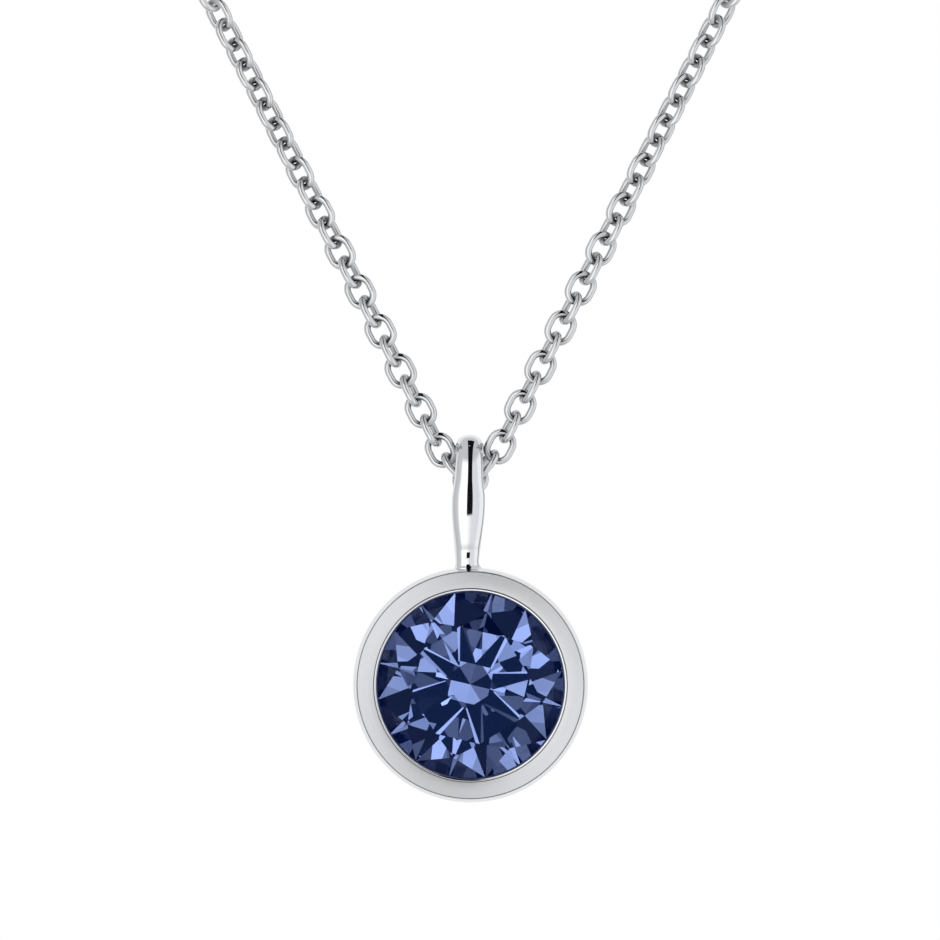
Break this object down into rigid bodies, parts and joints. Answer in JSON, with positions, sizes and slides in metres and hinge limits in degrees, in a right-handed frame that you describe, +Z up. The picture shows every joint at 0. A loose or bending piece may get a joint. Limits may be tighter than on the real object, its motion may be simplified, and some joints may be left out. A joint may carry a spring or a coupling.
{
  "type": "pendant necklace",
  "caption": "Solitaire pendant: a round brilliant stone in a bezel cup with a fixed bail, hanging from a fine cable chain wound on a display bar, with a spring-ring clasp.",
  "frame": {"origin": "centre of the round display bar that the necklace hangs from", "axes": "+Z up, +Y along the bar away from the viewer, so the stone faces -Y; +X to the viewer's right"},
  "size_m": [0.041, 0.0055, 0.0786],
  "materials": {
    "polished_metal": "polished",
    "bezel_metal": "polished",
    "chain_metal": "polished",
    "clasp_metal": "polished",
    "stone": "polished"
  },
  "bodies": {
    "root": {"chain_coil": "chain_metal", "strand_left": "chain_metal", "strand_right": "chain_metal", "clasp_tube": "clasp_metal", "clasp_spring": "clasp_metal"},
    "level_22": {"link_l_22": "chain_metal", "link_r_22": "chain_metal"},
    "level_21": {"link_l_21": "chain_metal", "link_r_21": "chain_metal"},
    "level_20": {"link_l_20": "chain_metal", "link_r_20": "chain_metal"},
    "level_19": {"link_l_19": "chain_metal", "link_r_19": "chain_metal"},
    "level_18": {"link_l_18": "chain_metal", "link_r_18": "chain_metal"},
    "level_17": {"link_l_17": "chain_metal", "link_r_17": "chain_metal"},
    "level_16": {"link_l_16": "chain_metal", "link_r_16": "chain_metal"},
    "level_15": {"link_l_15": "chain_metal", "link_r_15": "chain_metal"},
    "level_14": {"link_l_14": "chain_metal", "link_r_14": "chain_metal"},
    "level_13": {"link_l_13": "chain_metal", "link_r_13": "chain_metal"},
    "level_12": {"link_l_12": "chain_metal", "link_r_12": "chain_metal"},
    "level_11": {"link_l_11": "chain_metal", "link_r_11": "chain_metal"},
    "level_10": {"link_l_10": "chain_metal", "link_r_10": "chain_metal"},
    "level_09": {"link_l_09": "chain_metal", "link_r_09": "chain_metal"},
    "level_08": {"link_l_08": "chain_metal", "link_r_08": "chain_metal"},
    "level_07": {"link_l_07": "chain_metal", "link_r_07": "chain_metal"},
    "level_06": {"link_l_06": "chain_metal", "link_r_06": "chain_metal"},
    "level_05": {"link_l_05": "chain_metal", "link_r_05": "chain_metal"},
    "level_04": {"link_l_04": "chain_metal", "link_r_04": "chain_metal"},
    "level_03": {"link_l_03": "chain_metal", "link_r_03": "chain_metal"},
    "level_02": {"link_l_02": "chain_metal", "link_r_02": "chain_metal"},
    "level_01": {"link_l_01": "chain_metal", "link_r_01": "chain_metal"},
    "level_00": {"link_l_00": "chain_metal", "link_r_00": "chain_metal"},
    "centre": {"link_centre": "chain_metal"},
    "pendant": {"bail": "polished_metal", "bezel_cup": "bezel_metal", "gemstone": "stone"},
    "clasp_bolt": {"clasp_bolt": "clasp_metal"},
    "jump_ring": {"jump_ring": "clasp_metal"},
    "end_ring": {"end_ring": "clasp_metal"}
  },
  "joints": [
    {"name": "link_sway_22", "type": "hinge", "parent": "root", "child": "level_22", "pos_m": [0, 0, -0.02298], "axis": [1, 0, 0], "range_deg": [-4, 4]},
    {"name": "link_sway_21", "type": "hinge", "parent": "level_22", "child": "level_21", "pos_m": [0, 0, -0.02382], "axis": [1, 0, 0], "range_deg": [-4, 4]},
    {"name": "link_sway_20", "type": "hinge", "parent": "level_21", "child": "level_20", "pos_m": [0, 0, -0.02467], "axis": [1, 0, 0], "range_deg": [-4, 4]},
    {"name": "link_sway_19", "type": "hinge", "parent": "level_20", "child": "level_19", "pos_m": [0, 0, -0.02552], "axis": [1, 0, 0], "range_deg": [-4, 4]},
    {"name": "link_sway_18", "type": "hinge", "parent": "level_19", "child": "level_18", "pos_m": [0, 0, -0.02637], "axis": [1, 0, 0], "range_deg": [-4, 4]},
    {"name": "link_sway_17", "type": "hinge", "parent": "level_18", "child": "level_17", "pos_m": [0, 0, -0.02721], "axis": [1, 0, 0], "range_deg": [-4, 4]},
    {"name": "link_sway_16", "type": "hinge", "parent": "level_17", "child": "level_16", "pos_m": [0, 0, -0.02806], "axis": [1, 0, 0], "range_deg": [-4, 4]},
    {"name": "link_sway_15", "type": "hinge", "parent": "level_16", "child": "level_15", "pos_m": [0, 0, -0.02891], "axis": [1, 0, 0], "range_deg": [-4, 4]},
    {"name": "link_sway_14", "type": "hinge", "parent": "level_15", "child": "level_14", "pos_m": [0, 0, -0.02976], "axis": [1, 0, 0], "range_deg": [-4, 4]},
    {"name": "link_sway_13", "type": "hinge", "parent": "level_14", "child": "level_13", "pos_m": [0, 0, -0.0306], "axis": [1, 0, 0], "range_deg": [-4, 4]},
    {"name": "link_sway_12", "type": "hinge", "parent": "level_13", "child": "level_12", "pos_m": [0, 0, -0.03145], "axis": [1, 0, 0], "range_deg": [-4, 4]},
    {"name": "link_sway_11", "type": "hinge", "parent": "level_12", "child": "level_11", "pos_m": [0, 0, -0.0323], "axis": [1, 0, 0], "range_deg": [-4, 4]},
    {"name": "link_sway_10", "type": "hinge", "parent": "level_11", "child": "level_10", "pos_m": [0, 0, -0.03315], "axis": [1, 0, 0], "range_deg": [-4, 4]},
    {"name": "link_sway_09", "type": "hinge", "parent": "level_10", "child": "level_09", "pos_m": [0, 0, -0.03399], "axis": [1, 0, 0], "range_deg": [-4, 4]},
    {"name": "link_sway_08", "type": "hinge", "parent": "level_09", "child": "level_08", "pos_m": [0, 0, -0.03484], "axis": [1, 0, 0], "range_deg": [-4, 4]},
    {"name": "link_sway_07", "type": "hinge", "parent": "level_08", "child": "level_07", "pos_m": [0, 0, -0.03569], "axis": [1, 0, 0], "range_deg": [-4, 4]},
    {"name": "link_sway_06", "type": "hinge", "parent": "level_07", "child": "level_06", "pos_m": [0, 0, -0.03653], "axis": [1, 0, 0], "range_deg": [-4, 4]},
    {"name": "link_sway_05", "type": "hinge", "parent": "level_06", "child": "level_05", "pos_m": [0, 0, -0.03738], "axis": [1, 0, 0], "range_deg": [-4, 4]},
    {"name": "link_sway_04", "type": "hinge", "parent": "level_05", "child": "level_04", "pos_m": [0, 0, -0.03823], "axis": [1, 0, 0], "range_deg": [-4, 4]},
    {"name": "link_sway_03", "type": "hinge", "parent": "level_04", "child": "level_03", "pos_m": [0, 0, -0.03908], "axis": [1, 0, 0], "range_deg": [-4, 4]},
    {"name": "link_sway_02", "type": "hinge", "parent": "level_03", "child": "level_02", "pos_m": [0, 0, -0.03992], "axis": [1, 0, 0], "range_deg": [-4, 4]},
    {"name": "link_sway_01", "type": "hinge", "parent": "level_02", "child": "level_01", "pos_m": [0, 0, -0.04077], "axis": [1, 0, 0], "range_deg": [-4, 4]},
    {"name": "link_sway_00", "type": "hinge", "parent": "level_01", "child": "level_00", "pos_m": [0, 0, -0.04171], "axis": [1, 0, 0], "range_deg": [-4, 4]},
    {"name": "pendant_tilt", "type": "hinge", "parent": "level_00", "child": "centre", "pos_m": [0, 0, -0.04254], "axis": [0, 1, 0], "range_deg": [-4, 4]},
    {"name": "pendant_swing", "type": "hinge", "parent": "centre", "child": "pendant", "pos_m": [0, 0, -0.04254], "axis": [1, 0, 0], "range_deg": [-60, 60]},
    {"name": "clasp_open", "type": "hinge", "parent": "root", "child": "clasp_bolt", "pos_m": [0, 0, 0.02142], "axis": [0, 0, 1], "range_deg": [0, 55], "stiffness_Nm_per_rad": 0.002, "springref_deg": -28.65, "deforming": ["clasp_spring"]},
    {"name": "jump_ring_turn", "type": "hinge", "parent": "root", "child": "jump_ring", "pos_m": [-0.004, 0, 0.02142], "axis": [1, 0, 0], "range_deg": [-15, 15]},
    {"name": "end_ring_turn", "type": "hinge", "parent": "root", "child": "end_ring", "pos_m": [0.0025, 0, 0.02142], "axis": [1, 0, 0], "range_deg": [-15, 15]}
  ]
}
